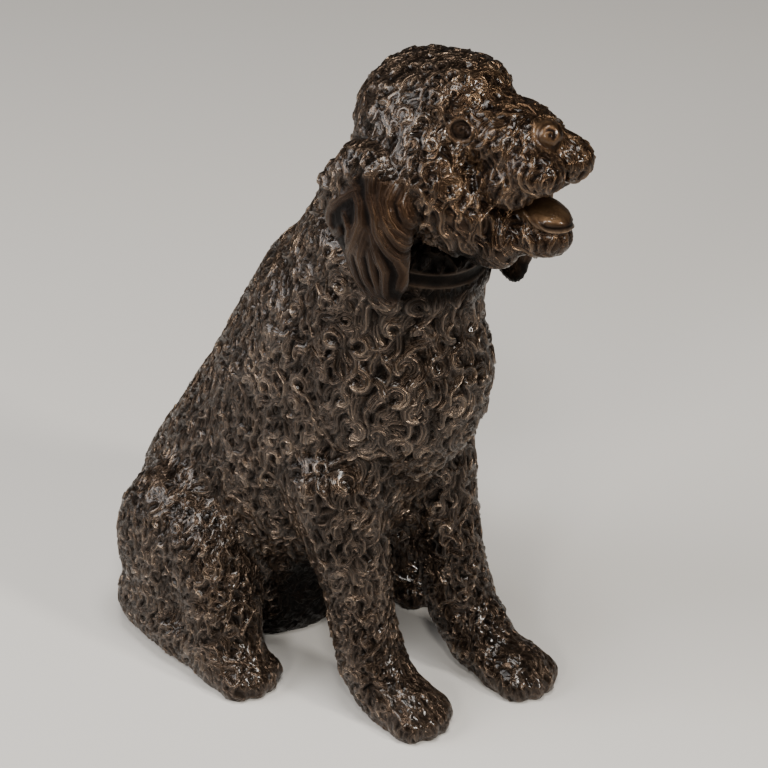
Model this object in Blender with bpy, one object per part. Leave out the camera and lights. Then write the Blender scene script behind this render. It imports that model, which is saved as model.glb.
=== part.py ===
"""Sitting curly-coated dog, cast in bronze.

The dog faces -Y and its left side is +X. It sits on the ground, z = 0, and the
origin is at the middle of the box round it, at its base. Everything is one
casting: the coat, the ears, the collar band and the tail belong to it.

The figure is free form, so its masses are shares of its height. They are
written in clay units: the height from the ground to the crown is 592 of them.
"""

import math

import bmesh
import bpy
import numpy as np
from mathutils import Euler

STATUE_HEIGHT = 0.595          # ground to the curls on the crown, metres
CLAY_HEIGHT = 592.0            # the same height in clay units
UNIT = STATUE_HEIGHT / CLAY_HEIGHT

CLAY_VOXEL = 3.6               # grid that the joined masses are skinned on
COAT_VOXEL = 3.0               # grid that the carved coat is skinned on
TRIANGLES = 9400               # facets left in the finished solid
FACE_SHARE = 0.75              # how strongly facets are kept for the face
SOLE_DEPTH = 0.4               # how far the feet are planed off, for flat soles

COAT_LOCK = 32.0               # one tuft of the body's coat, across
HEAD_LOCK = 22.0               # one tuft on the head
LEG_LOCK = 24.0                # one tuft on the legs
COAT_RELIEF = 8.0              # how far a tuft stands out of the body
HEAD_RELIEF = 6.0
EAR_LOCK = 17.0                # one long lock of an ear, across
EAR_RELIEF = 2.6
SEED = 7

BRONZE_COLOUR = (0.060, 0.042, 0.031, 1.0)
BRONZE_ROUGHNESS = 0.42
BRONZE_METALLIC = 0.85

# Trunk as stations (y, z, half depth, half width) along its middle, from the neck down.
TRUNK = [
    (94, 473, 47, 52), (107, 405, 78, 70), (145, 318, 104, 82), (206, 198, 113, 87),
    (281, 106, 101, 95),
]
# Masses as (centre), (half axes), (turn in degrees about x, y, z).
CHEST = ((0, 98, 295), (66, 71, 80), (10, 0, 0))
BELLY = ((0, 246, 52), (72, 66, 60), (0, 0, 0))
THIGHS = [
    ((-82, 283, 87), (47, 68, 84), (0, 0, 0)),
    ((83, 269, 86), (46, 70, 84), (0, 0, 0)),
]
HEAD = [
    ((0, 67, 525), (58, 64, 62), (0, 0, 0)),
    ((0, 36, 564), (38, 30, 25), (-10, 0, 0)),
    ((0, -9, 539), (36, 45, 29), (0, 0, 0)),
    ((-44, 42, 498), (27, 38, 42), (0, 0, 0)),
    ((44, 42, 498), (27, 38, 42), (0, 0, 0)),
    ((-32, 14, 480), (24, 34, 34), (0, 0, 0)),
    ((32, 14, 480), (24, 34, 34), (0, 0, 0)),
]
MOUSTACHE = [
    ((-18, -47, 527), (19, 24, 18), (0, 0, 0)),
    ((18, -47, 527), (19, 24, 18), (0, 0, 0)),
    ((-24, -26, 511), (15, 24, 17), (0, 0, 0)),
    ((24, -26, 511), (15, 24, 17), (0, 0, 0)),
]
JAW = [
    ((0, -10, 472), (31, 46, 21), (6, 0, 0)),
    ((0, -47, 468), (18, 21, 14), (0, 0, 0)),
    ((-22, -8, 460), (16, 28, 21), (0, 0, 0)),
    ((22, -8, 460), (16, 28, 21), (0, 0, 0)),
]
TONGUE = ((0, -44, 486), (18, 26, 10), (12, 0, 0))
NOSE = ((-3, -48, 551), (11.5, 11, 12.5), (0, 0, 0))
EYES = [(-33, 12, 548), (33, 12, 548)]
EYE_RADIUS = 9.0
EYE_LOOK = (0.80, -0.58, 0.12)  # way that the left eye looks
SOCKET_RADIUS = 13.0
SOCKET_REACH = 8.0       # from the middle of the eye to the middle of the dish round it
RIGHT_EAR = [
    ((-61, 76, 512), (13, 26, 16), (0, 0, 0)),
    ((-71, 74, 480), (12, 48, 38), (0, 4, 0)),
    ((-72, 62, 440), (10, 30, 40), (-10, -3, 0)),
]
LEFT_EAR = [
    ((61, 74, 512), (13, 26, 16), (0, 0, 0)),
    ((70, 66, 478), (12, 48, 40), (0, -4, 0)),
    ((68, 47, 423), (9, 24, 48), (-14, 3, 0)),
]

# Limbs as stations (x, y, z, radius) along their middle.
RIGHT_FORELEG = [
    (-50, 126, 205, 44), (-53, 113, 150, 34), (-52, 104, 118, 29), (-53, 95, 78, 27),
    (-54, 84, 48, 28), (-54, 70, 28, 28),
]
LEFT_FORELEG = [
    (50, 118, 205, 43), (52, 103, 154, 33), (51, 93, 120, 31), (50, 84, 90, 29),
    (51, 73, 56, 29), (52, 52, 30, 29),
]
RIGHT_HOCK = [(-92, 318, 30, 30), (-104, 262, 26, 28), (-107, 226, 24, 27)]
LEFT_HOCK = [(90, 306, 30, 30), (98, 250, 26, 28), (101, 212, 24, 27)]
RIGHT_SHIN = [(-86, 242, 112, 40), (-100, 218, 60, 33), (-106, 206, 28, 29)]
LEFT_SHIN = [(84, 230, 112, 40), (96, 204, 60, 33), (101, 192, 28, 29)]
TAIL = [
    (0, 358, 84, 26), (-44, 357, 52, 20), (-84, 334, 30, 16), (-103, 312, 20, 13),
]
# Paws as (x, y) of the tip of the middle toes.
PAWS = [(-53, 11), (53, -18), (-107, 162), (101, 145)]
PAW_HALF_WIDTH = 28.0
TOE_RADIUS = 11.5
TOE_SPREAD = (-1.5, -0.5, 0.5, 1.5)

COLLAR_HEIGHT = 410.0          # of the band, at the throat
COLLAR_SLOPE = 0.35            # how much higher it sits for each unit further back
COLLAR_HALF_WIDTH = 6.5
COLLAR_RELIEF = 2.2


def turn_matrix(turn):
    """Matrix of a turn given in degrees about x, y and z."""
    return np.array(Euler([math.radians(angle) for angle in turn]).to_matrix())


def ball(points, centre, half_axes, turn=(0, 0, 0)):
    """Distance to an ellipsoid, near enough to blend with."""
    axes = np.array(half_axes, dtype=float)
    local = (points - np.array(centre, dtype=float)) @ turn_matrix(turn)
    near = np.linalg.norm(local / axes, axis=1)
    slope = np.linalg.norm(local / axes ** 2, axis=1)
    return near * (near - 1.0) / np.maximum(slope, 1e-9)


def limb(points, stations):
    """Distance to a limb whose radius changes from station to station."""
    distance = np.full(len(points), np.inf)
    for start, end in zip(stations[:-1], stations[1:]):
        a = np.array(start[:3], dtype=float)
        run = np.array(end[:3], dtype=float) - a
        share = np.clip((points - a) @ run / (run @ run), 0.0, 1.0)
        radius = start[3] + share * (end[3] - start[3])
        reach = np.linalg.norm(points - a - share[:, None] * run, axis=1) - radius
        distance = np.minimum(distance, reach)
    return distance


def trunk_distance(points):
    """Distance to the trunk, which is deeper than it is wide."""
    distance = np.full(len(points), np.inf)
    for start, end in zip(TRUNK[:-1], TRUNK[1:]):
        a = np.array(start[:2], dtype=float)
        run = np.array(end[:2], dtype=float) - a
        aside = points[:, 1:] - a
        share = np.clip(aside @ run / (run @ run), 0.0, 1.0)
        depth = start[2] + share * (end[2] - start[2])
        width = start[3] + share * (end[3] - start[3])
        aside = aside - share[:, None] * run
        across = points[:, 0] * depth / width
        reach = np.sqrt(aside[:, 0] ** 2 + aside[:, 1] ** 2 + across ** 2) - depth
        distance = np.minimum(distance, reach)
    return distance


def melt(first, second, width):
    """Join two distances with a fillet of the given width."""
    overlap = np.maximum(width - np.abs(first - second), 0.0) / width
    return np.minimum(first, second) - overlap ** 2 * width / 4.0


def gather(points, masses, width):
    """Join a list of masses with fillets."""
    distance = ball(points, *masses[0])
    for mass in masses[1:]:
        distance = melt(distance, ball(points, *mass), width)
    return distance


def paw_masses():
    """Palm and four toes of each paw."""
    masses = []
    for tip_x, tip_y in PAWS:
        palm = ((tip_x, tip_y + 36, 15), (PAW_HALF_WIDTH, 34, 25), (0, 0, 0))
        toes = []
        for place in TOE_SPREAD:
            centre = (
                tip_x + place * TOE_RADIUS * 1.05,
                tip_y + TOE_RADIUS + 3.5 * place * place,
                TOE_RADIUS,
            )
            size = (TOE_RADIUS, TOE_RADIUS * 1.5, TOE_RADIUS * 1.25)
            toes.append((centre, size, (12, 0, 0)))
        masses.append((palm, toes))
    return masses


def ear_distance(points):
    """Distance to the nearer of the two hanging ears."""
    return np.minimum(gather(points, RIGHT_EAR, 16), gather(points, LEFT_EAR, 16))


def eye_distance(points):
    """Distance to the nearer eyeball."""
    return np.minimum(
        *[np.linalg.norm(points - np.array(eye, dtype=float), axis=1) - EYE_RADIUS for eye in EYES]
    )


def eye_look(eye):
    """Way that an eye looks, mirrored for the right one."""
    return np.array(EYE_LOOK) * (math.copysign(1.0, eye[0]), 1.0, 1.0)


def socket_centre(eye):
    """Middle of the dish that an eye looks out of."""
    return np.array(eye, dtype=float) + SOCKET_REACH * eye_look(eye)


def clay_distance(points):
    """Distance from each point to the smooth figure, below its coat."""
    figure = melt(trunk_distance(points), ball(points, *BELLY), 34)
    figure = melt(figure, ball(points, *CHEST), 34)
    head = gather(points, HEAD, 15)
    head = melt(head, gather(points, MOUSTACHE, 5), 8)
    figure = melt(figure, head, 20)
    figure = melt(figure, gather(points, JAW, 8), 6)
    for thigh in THIGHS:
        figure = melt(figure, ball(points, *thigh), 16)
    for foreleg in (RIGHT_FORELEG, LEFT_FORELEG):
        figure = melt(figure, limb(points, foreleg), 16)
    for hind in (RIGHT_HOCK, LEFT_HOCK, RIGHT_SHIN, LEFT_SHIN):
        figure = melt(figure, limb(points, hind), 12)
    for palm, toes in paw_masses():
        figure = melt(figure, ball(points, *palm), 10)
        for toe in toes:
            figure = melt(figure, ball(points, *toe), 4)
    figure = melt(figure, limb(points, TAIL), 5)
    figure = melt(figure, ear_distance(points), 5)
    figure = melt(figure, ball(points, *TONGUE), 3)
    for eye in EYES:
        dish = SOCKET_RADIUS - np.linalg.norm(points - socket_centre(eye), axis=1)
        figure = -melt(-figure, -dish, 4)
    figure = melt(figure, eye_distance(points), 1.5)
    return melt(figure, ball(points, *NOSE), 2)


def surface_slope(points, step=0.5):
    """Unit direction in which the distance grows."""
    slope = np.empty_like(points)
    for axis in range(3):
        offset = np.zeros(3)
        offset[axis] = step
        slope[:, axis] = clay_distance(points + offset) - clay_distance(points - offset)
    return slope / np.maximum(np.linalg.norm(slope, axis=1), 1e-9)[:, None]


def settle(points, rounds):
    """Move points onto the smooth figure."""
    for _ in range(rounds):
        reach = np.clip(clay_distance(points), -4.0, 4.0)
        points = points - reach[:, None] * surface_slope(points)
    return points


def add_ball(mesh, centre, half_axes, turn=(0, 0, 0)):
    """Add one ellipsoid to a mesh."""
    made = bmesh.ops.create_icosphere(mesh, subdivisions=4, radius=1.0)
    shape = turn_matrix(turn) * np.array(half_axes, dtype=float)
    for vertex in made["verts"]:
        vertex.co = shape @ np.array(vertex.co) + np.array(centre, dtype=float)


def add_chain(mesh, masses):
    """Add a chain of ellipsoids with the hulls between them."""
    for pair in zip(masses[:-1], masses[1:]):
        hull = bmesh.new()
        for centre, half_axes in pair:
            add_ball(hull, centre, half_axes)
        bmesh.ops.convex_hull(hull, input=hull.verts)
        loose = [vertex for vertex in hull.verts if not vertex.link_faces]
        bmesh.ops.delete(hull, geom=loose, context="VERTS")
        piece = bpy.data.meshes.new("hull")
        hull.to_mesh(piece)
        hull.free()
        mesh.from_mesh(piece)
        bpy.data.meshes.remove(piece)


def mass_mesh():
    """All the masses of the figure in one mesh, not yet joined."""
    mesh = bmesh.new()
    masses = [CHEST, BELLY, TONGUE, NOSE] + THIGHS + HEAD + MOUSTACHE + JAW + RIGHT_EAR + LEFT_EAR
    for mass in masses:
        add_ball(mesh, *mass)
    add_chain(mesh, [((0, y, z), (width, depth, depth)) for y, z, depth, width in TRUNK])
    for palm, toes in paw_masses():
        for mass in [palm] + toes:
            add_ball(mesh, *mass)
    limbs = [RIGHT_FORELEG, LEFT_FORELEG, RIGHT_HOCK, LEFT_HOCK, RIGHT_SHIN, LEFT_SHIN, TAIL]
    for stations in limbs:
        add_chain(mesh, [((x, y, z), (radius, radius, radius)) for x, y, z, radius in stations])
    return mesh


def with_modifier(thing, kind, **settings):
    """Apply one modifier and put its result in the object's mesh."""
    modifier = thing.modifiers.new(kind.title(), kind)
    for name, value in settings.items():
        setattr(modifier, name, value)
    bpy.context.view_layer.update()
    depsgraph = bpy.context.evaluated_depsgraph_get()
    result = bpy.data.meshes.new_from_object(thing.evaluated_get(depsgraph))
    thing.modifiers.clear()
    old = thing.data
    thing.data = result
    bpy.data.meshes.remove(old)


def skin(thing, voxel):
    """Give the object one closed skin on an even grid."""
    with_modifier(thing, "REMESH", mode="VOXEL", voxel_size=voxel, adaptivity=0.0)


def get_points(thing):
    """Corner positions of an object's mesh, one row each."""
    flat = np.empty(len(thing.data.vertices) * 3)
    thing.data.vertices.foreach_get("co", flat)
    return flat.reshape(-1, 3)


def set_points(thing, points):
    """Put corner positions back into an object's mesh."""
    thing.data.vertices.foreach_set("co", points.ravel())
    thing.data.update()


def get_normals(thing):
    """Outward direction at each corner of an object's mesh."""
    flat = np.empty(len(thing.data.vertices) * 3)
    thing.data.vertex_normals.foreach_get("vector", flat)
    return flat.reshape(-1, 3)


def fade(values, low, high):
    """Smooth step from 0 at low to 1 at high."""
    share = np.clip((values - low) / (high - low), 0.0, 1.0)
    return share * share * (3.0 - 2.0 * share)


def coat_masks(points):
    """How much each point belongs to the head, the legs, the ears and the bare parts."""
    x, y, z = points.T
    head = fade(z, 440, 470)
    leg = fade(-z, -150, -110) * fade(-y, -150, -125)
    ear = fade(-ear_distance(points), -5.0, -1.5) * fade(np.abs(x), 58, 66)
    bare = fade(-eye_distance(points), -5.0, -2.0)
    bare = np.maximum(bare, fade(-ball(points, *NOSE), -4.0, -1.0))
    bare = np.maximum(bare, fade(-ball(points, *TONGUE), -4.0, -1.5) * fade(z, 478, 484))
    return head, leg, ear, bare


def place_tufts(points, spacing):
    """Pick tuft centres no nearer to each other than the spacing at each point."""
    rng = np.random.default_rng(SEED)
    order = rng.permutation(len(points))
    free = np.ones(len(points), dtype=bool)
    chosen = []
    for index in order:
        if free[index]:
            chosen.append(index)
            gap = np.linalg.norm(points - points[index], axis=1)
            free &= gap > spacing[index]
    return np.array(chosen)


def tuft_height(points, normals, spacing):
    """Comma-shaped tufts all over the figure, 0 in the clefts and 1 on the crests."""
    centres = place_tufts(points, spacing * 0.82)
    rng = np.random.default_rng(SEED + 1)
    hand = rng.choice((-1.0, 1.0), len(centres))
    swing = rng.uniform(-0.7, 0.7, len(centres))
    height = np.zeros(len(points))
    for index, side, lean in zip(centres, hand, swing):
        centre, out, size = points[index], normals[index], spacing[index]
        near = np.nonzero(np.linalg.norm(points - centre, axis=1) < size)[0]
        facing = normals[near] @ out > 0.1
        near = near[facing]
        down = np.array((math.sin(lean), 0.25 * math.cos(lean), -math.cos(lean)))
        down -= out * (down @ out)
        down /= max(np.linalg.norm(down), 1e-6)
        across = np.cross(out, down) * side
        offset = (points[near] - centre) / size
        along_part = offset @ down
        across_part = offset @ across + 0.55 * along_part ** 2
        reach = np.hypot((along_part + 0.06) / 0.66, across_part / 0.44)
        crest = np.clip(1.0 - reach ** 2, 0.0, None) ** 0.6
        furrow = 0.80 + 0.20 * np.cos(across_part * 2.0 * math.pi / 0.34)
        height[near] = np.maximum(height[near], crest * furrow)
    return height


def ear_locks(points):
    """Long wavy locks that run down the ears, -1 to 1."""
    y, z = points[:, 1], points[:, 2]
    wave = 7.0 * np.sin((z - 420.0) / 16.0)
    narrowing = 1.0 + 0.8 * fade(-z, -480, -410)
    across = (y - 64.0 - wave) * narrowing
    return np.cos(across * 2.0 * math.pi / EAR_LOCK)


def face_locks(points):
    """Locks that sweep down and back from the bridge of the nose, -1 to 1."""
    x, y, z = points.T
    around = np.arctan2(z - 540.0, y + 20.0)
    return np.cos(around * 11.0 + 0.05 * np.abs(x))


def collar_band(points):
    """The smooth band of the collar at the throat, 0 to 1."""
    y, z = points[:, 1], points[:, 2]
    level = z - COLLAR_HEIGHT - COLLAR_SLOPE * (y - 30.0)
    width = fade(-np.abs(level), -COLLAR_HALF_WIDTH - 1.5, -COLLAR_HALF_WIDTH + 1.5)
    front = fade(-y, -92, -72)
    return width * front


def carve_coat(thing):
    """Raise the coat, the ear locks and the collar out of the smooth figure."""
    points = get_points(thing)
    normals = get_normals(thing)
    head, leg, ear, bare = coat_masks(points)
    spacing = COAT_LOCK + (HEAD_LOCK - COAT_LOCK) * head
    spacing = spacing + (LEG_LOCK - spacing) * leg
    relief = COAT_RELIEF + (HEAD_RELIEF - COAT_RELIEF) * np.maximum(head, leg)
    tufts = tuft_height(points, normals, spacing)
    muzzle = head * fade(-points[:, 1], -6, 12) * fade(-np.abs(points[:, 0]), -60, -50)
    coat = (tufts - 0.40) * relief
    coat += (face_locks(points) * 1.8 - coat) * muzzle * 0.8
    coat += (ear_locks(points) * EAR_RELIEF - coat) * ear
    band = collar_band(points) * (1.0 - ear)
    coat += (COLLAR_RELIEF - coat) * band
    coat *= 1.0 - bare
    set_points(thing, points + normals * coat[:, None])


def reduce_facets(thing):
    """Thin the facets out where the form is plain, and least on the face."""
    points = get_points(thing)
    face = fade(points[:, 2], 430, 460) * fade(-points[:, 1], -70, -40)
    group = thing.vertex_groups.new(name="plain")
    for index, weight in enumerate(1.0 - FACE_SHARE * face):
        group.add([index], float(weight), "REPLACE")
    faces = sum(len(polygon.vertices) - 2 for polygon in thing.data.polygons)
    with_modifier(
        thing, "DECIMATE", ratio=TRIANGLES / faces, use_collapse_triangulate=True,
        vertex_group="plain", vertex_group_factor=1.0,
    )
    thing.vertex_groups.clear()


def drop_crumbs(mesh):
    """Delete every loose bit but the one with the most corners."""
    islands = []
    waiting = set(mesh.verts)
    while waiting:
        island = set()
        edge_of_island = {waiting.pop()}
        while edge_of_island:
            island |= edge_of_island
            reached = {edge.other_vert(v) for v in edge_of_island for edge in v.link_edges}
            edge_of_island = reached - island
        waiting -= island
        islands.append(island)
    islands.sort(key=len)
    for crumb in islands[:-1]:
        bmesh.ops.delete(mesh, geom=list(crumb), context="VERTS")


def plane_soles(thing):
    """Cut the figure flat where it stands and close the cut."""
    mesh = bmesh.new()
    mesh.from_mesh(thing.data)
    everything = mesh.verts[:] + mesh.edges[:] + mesh.faces[:]
    bmesh.ops.bisect_plane(
        mesh, geom=everything, dist=1e-4, plane_co=(0, 0, SOLE_DEPTH), plane_no=(0, 0, -1),
        clear_outer=True,
    )
    drop_crumbs(mesh)
    rim = [edge for edge in mesh.edges if edge.is_boundary]
    bmesh.ops.holes_fill(mesh, edges=rim, sides=0)
    bmesh.ops.dissolve_degenerate(mesh, dist=0.05, edges=mesh.edges)
    bmesh.ops.triangulate(mesh, faces=mesh.faces)
    bmesh.ops.recalc_face_normals(mesh, faces=mesh.faces)
    mesh.to_mesh(thing.data)
    mesh.free()


def set_down(thing):
    """Scale clay units to metres and stand the figure over the origin."""
    points = get_points(thing) * UNIT
    set_points(thing, points)
    low, high = points.min(axis=0), points.max(axis=0)
    middle = (low + high) / 2.0
    thing.location = (-middle[0], -middle[1], -low[2])


def bronze_material():
    """Dark brown patinated bronze."""
    material = bpy.data.materials.new("dark bronze")
    material.use_nodes = True
    shader = material.node_tree.nodes["Principled BSDF"]
    shader.inputs["Base Color"].default_value = BRONZE_COLOUR
    shader.inputs["Roughness"].default_value = BRONZE_ROUGHNESS
    shader.inputs["Metallic"].default_value = BRONZE_METALLIC
    return material


def build_dog():
    """Model the whole casting."""
    masses = mass_mesh()
    mesh = bpy.data.meshes.new("dog_casting")
    masses.to_mesh(mesh)
    masses.free()
    dog = bpy.data.objects.new("dog_casting", mesh)
    bpy.context.collection.objects.link(dog)
    skin(dog, CLAY_VOXEL)
    set_points(dog, settle(get_points(dog), 5))
    skin(dog, CLAY_VOXEL)
    set_points(dog, settle(get_points(dog), 2))
    carve_coat(dog)
    skin(dog, COAT_VOXEL)
    reduce_facets(dog)
    plane_soles(dog)
    set_down(dog)
    dog.data.materials.append(bronze_material())
    return dog


def main():
    for thing in list(bpy.data.objects):
        bpy.data.objects.remove(thing, do_unlink=True)
    build_dog()


main()
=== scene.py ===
"""Looks of a sitting curly-coated dog, cast in bronze and patinated dark brown.

The statue is one skin. It starts as the smooth figure, written in the same clay units as
the solid that it stands for. The coat is then carved into it curl by curl and the ears lock
by lock, the eyes, nose, lip and collar are cut over them, and the patina follows how deep
each point lies in the carving. The dog faces -Y and its left side is +X. Lengths are clay
units, a millimetre or so each, until the finished figure is set down in metres.
"""
import math
from itertools import product

import bmesh
import bpy
import numpy as np
from mathutils import Euler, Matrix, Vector, kdtree


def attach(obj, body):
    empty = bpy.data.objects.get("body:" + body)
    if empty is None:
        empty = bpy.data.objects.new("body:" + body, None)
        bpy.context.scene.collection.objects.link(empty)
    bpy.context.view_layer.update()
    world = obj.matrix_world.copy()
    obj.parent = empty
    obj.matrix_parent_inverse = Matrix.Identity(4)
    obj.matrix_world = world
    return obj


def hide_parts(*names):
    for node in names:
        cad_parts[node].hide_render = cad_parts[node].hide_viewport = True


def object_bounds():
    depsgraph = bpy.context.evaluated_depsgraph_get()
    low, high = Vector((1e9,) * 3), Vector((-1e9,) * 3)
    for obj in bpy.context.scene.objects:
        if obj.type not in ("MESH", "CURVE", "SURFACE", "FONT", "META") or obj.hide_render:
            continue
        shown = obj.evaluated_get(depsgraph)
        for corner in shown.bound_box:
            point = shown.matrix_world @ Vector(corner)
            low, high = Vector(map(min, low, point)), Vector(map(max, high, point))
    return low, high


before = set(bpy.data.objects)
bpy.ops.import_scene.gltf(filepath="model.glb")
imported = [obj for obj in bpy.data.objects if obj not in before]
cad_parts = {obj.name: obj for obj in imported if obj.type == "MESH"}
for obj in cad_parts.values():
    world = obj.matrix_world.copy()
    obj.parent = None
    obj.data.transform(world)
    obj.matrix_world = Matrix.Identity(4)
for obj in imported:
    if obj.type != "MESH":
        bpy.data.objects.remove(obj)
CAD_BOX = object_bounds()

CLAY_HEIGHT = 592.0      # ground to crown in clay units
STATUE_HEIGHT = 0.595    # the same height in metres
UNIT = STATUE_HEIGHT / CLAY_HEIGHT
SOLE_DEPTH = 0.4         # taken off under the soles to make them flat
BOX_MARGIN = 0.0004      # metres left free inside the solid's box

ROUGH_VOXEL = 3.6        # grid of the first skin
FINE_VOXEL = 1.15        # grid that the coat is carved on
TRIANGLES = 198000       # facets kept in the finished skin
KEEP_STEP = 4            # percent between the steps in which facets are kept
SEED = 11                # of the random draws for the curls

# Trunk as stations (y, z, half depth, half width) along its middle, from the neck down.
TRUNK = [
    (94, 473, 47, 52), (107, 405, 78, 70), (145, 318, 104, 82), (206, 198, 113, 87),
    (281, 106, 101, 95),
]
# Masses as (centre), (half axes), (turn in degrees about x, y, z).
CHEST = ((0, 98, 295), (66, 71, 80), (10, 0, 0))
BELLY = ((0, 246, 52), (72, 66, 60), (0, 0, 0))
THIGHS = [
    ((-82, 283, 87), (47, 68, 84), (0, 0, 0)),
    ((83, 269, 86), (46, 70, 84), (0, 0, 0)),
]
HEAD = [
    ((0, 67, 525), (58, 64, 62), (0, 0, 0)),
    ((0, 36, 564), (38, 30, 25), (-10, 0, 0)),
    ((0, -9, 539), (36, 45, 29), (0, 0, 0)),
    ((-44, 42, 498), (27, 38, 42), (0, 0, 0)),
    ((44, 42, 498), (27, 38, 42), (0, 0, 0)),
    ((-32, 14, 480), (24, 34, 34), (0, 0, 0)),
    ((32, 14, 480), (24, 34, 34), (0, 0, 0)),
]
MOUSTACHE = [
    ((-18, -47, 527), (19, 24, 18), (0, 0, 0)),
    ((18, -47, 527), (19, 24, 18), (0, 0, 0)),
    ((-24, -26, 511), (15, 24, 17), (0, 0, 0)),
    ((24, -26, 511), (15, 24, 17), (0, 0, 0)),
]
JAW = [
    ((0, -10, 472), (31, 46, 21), (6, 0, 0)),
    ((0, -47, 468), (18, 21, 14), (0, 0, 0)),
    ((-22, -8, 460), (16, 28, 21), (0, 0, 0)),
    ((22, -8, 460), (16, 28, 21), (0, 0, 0)),
]
TONGUE = ((0, -44, 486), (18, 26, 10), (12, 0, 0))
NOSE = ((-3, -48, 551), (11.5, 11, 12.5), (0, 0, 0))
EYES = [(-33, 12, 548), (33, 12, 548)]
EYE_RADIUS = 9.0
EYE_LOOK = (0.80, -0.58, 0.12)  # way that the left eye looks
SOCKET_RADIUS = 13.0
SOCKET_REACH = 8.0       # from the middle of the eye to the middle of the dish round it
RIGHT_EAR = [
    ((-61, 76, 512), (13, 26, 16), (0, 0, 0)),
    ((-71, 74, 480), (12, 48, 38), (0, 4, 0)),
    ((-72, 62, 440), (10, 30, 40), (-10, -3, 0)),
]
LEFT_EAR = [
    ((61, 74, 512), (13, 26, 16), (0, 0, 0)),
    ((70, 66, 478), (12, 48, 40), (0, -4, 0)),
    ((68, 47, 423), (9, 24, 48), (-14, 3, 0)),
]

# Limbs as stations (x, y, z, radius) along their middle.
RIGHT_FORELEG = [
    (-50, 126, 205, 44), (-53, 113, 150, 34), (-52, 104, 118, 29), (-53, 95, 78, 27),
    (-54, 84, 48, 28), (-54, 70, 28, 28),
]
LEFT_FORELEG = [
    (50, 118, 205, 43), (52, 103, 154, 33), (51, 93, 120, 31), (50, 84, 90, 29),
    (51, 73, 56, 29), (52, 52, 30, 29),
]
RIGHT_HOCK = [(-92, 318, 30, 30), (-104, 262, 26, 28), (-107, 226, 24, 27)]
LEFT_HOCK = [(90, 306, 30, 30), (98, 250, 26, 28), (101, 212, 24, 27)]
RIGHT_SHIN = [(-86, 242, 112, 40), (-100, 218, 60, 33), (-106, 206, 28, 29)]
LEFT_SHIN = [(84, 230, 112, 40), (96, 204, 60, 33), (101, 192, 28, 29)]
TAIL = [
    (0, 358, 84, 26), (-44, 357, 52, 20), (-84, 334, 30, 16), (-103, 312, 20, 13),
]
PAWS = [(-53, 11), (53, -18), (-107, 162), (101, 145)]
PAW_HALF_WIDTH = 28.0
TOE_RADIUS = 11.5
TOE_SPREAD = (-1.5, -0.5, 0.5, 1.5)

COLLAR_HEIGHT = 410.0    # of the band's middle line, where y is COLLAR_MIDDLE
COLLAR_MIDDLE = 30.0
COLLAR_SLOPE = 0.35
COLLAR_HALF_WIDTH = 6.5


# Form of the smooth figure

def turn_matrix(turn):
    """Matrix of a turn given in degrees about x, y and z."""
    return np.array(Euler([math.radians(angle) for angle in turn]).to_matrix())


def ball(points, centre, half_axes, turn=(0, 0, 0)):
    """Distance to an ellipsoid, near enough to blend with."""
    axes = np.array(half_axes, dtype=float)
    local = points - np.array(centre, dtype=float)
    if any(turn):
        local = local @ turn_matrix(turn)
    local = local / axes
    near = np.sqrt(np.einsum("ij,ij->i", local, local))
    local = local / axes
    slope = np.sqrt(np.einsum("ij,ij->i", local, local))
    return near * (near - 1.0) / np.maximum(slope, 1e-9)


def limb(points, stations):
    """Distance to a limb whose radius changes from station to station."""
    distance = np.full(len(points), np.inf)
    for start, end in zip(stations[:-1], stations[1:]):
        a = np.array(start[:3], dtype=float)
        run = np.array(end[:3], dtype=float) - a
        share = np.clip((points - a) @ run / (run @ run), 0.0, 1.0)
        radius = start[3] + share * (end[3] - start[3])
        reach = np.linalg.norm(points - a - share[:, None] * run, axis=1) - radius
        distance = np.minimum(distance, reach)
    return distance


def trunk_distance(points):
    """Distance to the trunk, which is deeper than it is wide."""
    distance = np.full(len(points), np.inf)
    for start, end in zip(TRUNK[:-1], TRUNK[1:]):
        a = np.array(start[:2], dtype=float)
        run = np.array(end[:2], dtype=float) - a
        aside = points[:, 1:] - a
        share = np.clip(aside @ run / (run @ run), 0.0, 1.0)
        depth = start[2] + share * (end[2] - start[2])
        width = start[3] + share * (end[3] - start[3])
        aside = aside - share[:, None] * run
        across = points[:, 0] * depth / width
        reach = np.sqrt(aside[:, 0] ** 2 + aside[:, 1] ** 2 + across ** 2) - depth
        distance = np.minimum(distance, reach)
    return distance


def melt(first, second, width):
    """Join two distances with a fillet of the given width."""
    overlap = np.maximum(width - np.abs(first - second), 0.0) / width
    return np.minimum(first, second) - overlap ** 2 * width / 4.0


def gather(points, masses, width):
    """Join a list of masses with fillets."""
    distance = ball(points, *masses[0])
    for mass in masses[1:]:
        distance = melt(distance, ball(points, *mass), width)
    return distance


def paw_masses():
    """Palm and four toes of each paw."""
    masses = []
    for tip_x, tip_y in PAWS:
        palm = ((tip_x, tip_y + 36, 15), (PAW_HALF_WIDTH, 34, 25), (0, 0, 0))
        toes = []
        for place in TOE_SPREAD:
            centre = (
                tip_x + place * TOE_RADIUS * 1.05,
                tip_y + TOE_RADIUS + 3.5 * place * place,
                TOE_RADIUS,
            )
            size = (TOE_RADIUS, TOE_RADIUS * 1.5, TOE_RADIUS * 1.25)
            toes.append((centre, size, (12, 0, 0)))
        masses.append((palm, toes))
    return masses


def ear_distance(points):
    """Distance to the nearer of the two hanging ears."""
    return np.minimum(gather(points, RIGHT_EAR, 16), gather(points, LEFT_EAR, 16))


def eye_distance(points):
    """Distance to the nearer eyeball."""
    reach = [np.linalg.norm(points - np.array(eye, dtype=float), axis=1) for eye in EYES]
    return np.minimum(*reach) - EYE_RADIUS


def eye_look(eye):
    """Way that an eye looks, mirrored for the right one."""
    return np.array(EYE_LOOK) * (math.copysign(1.0, eye[0]), 1.0, 1.0)


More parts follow.
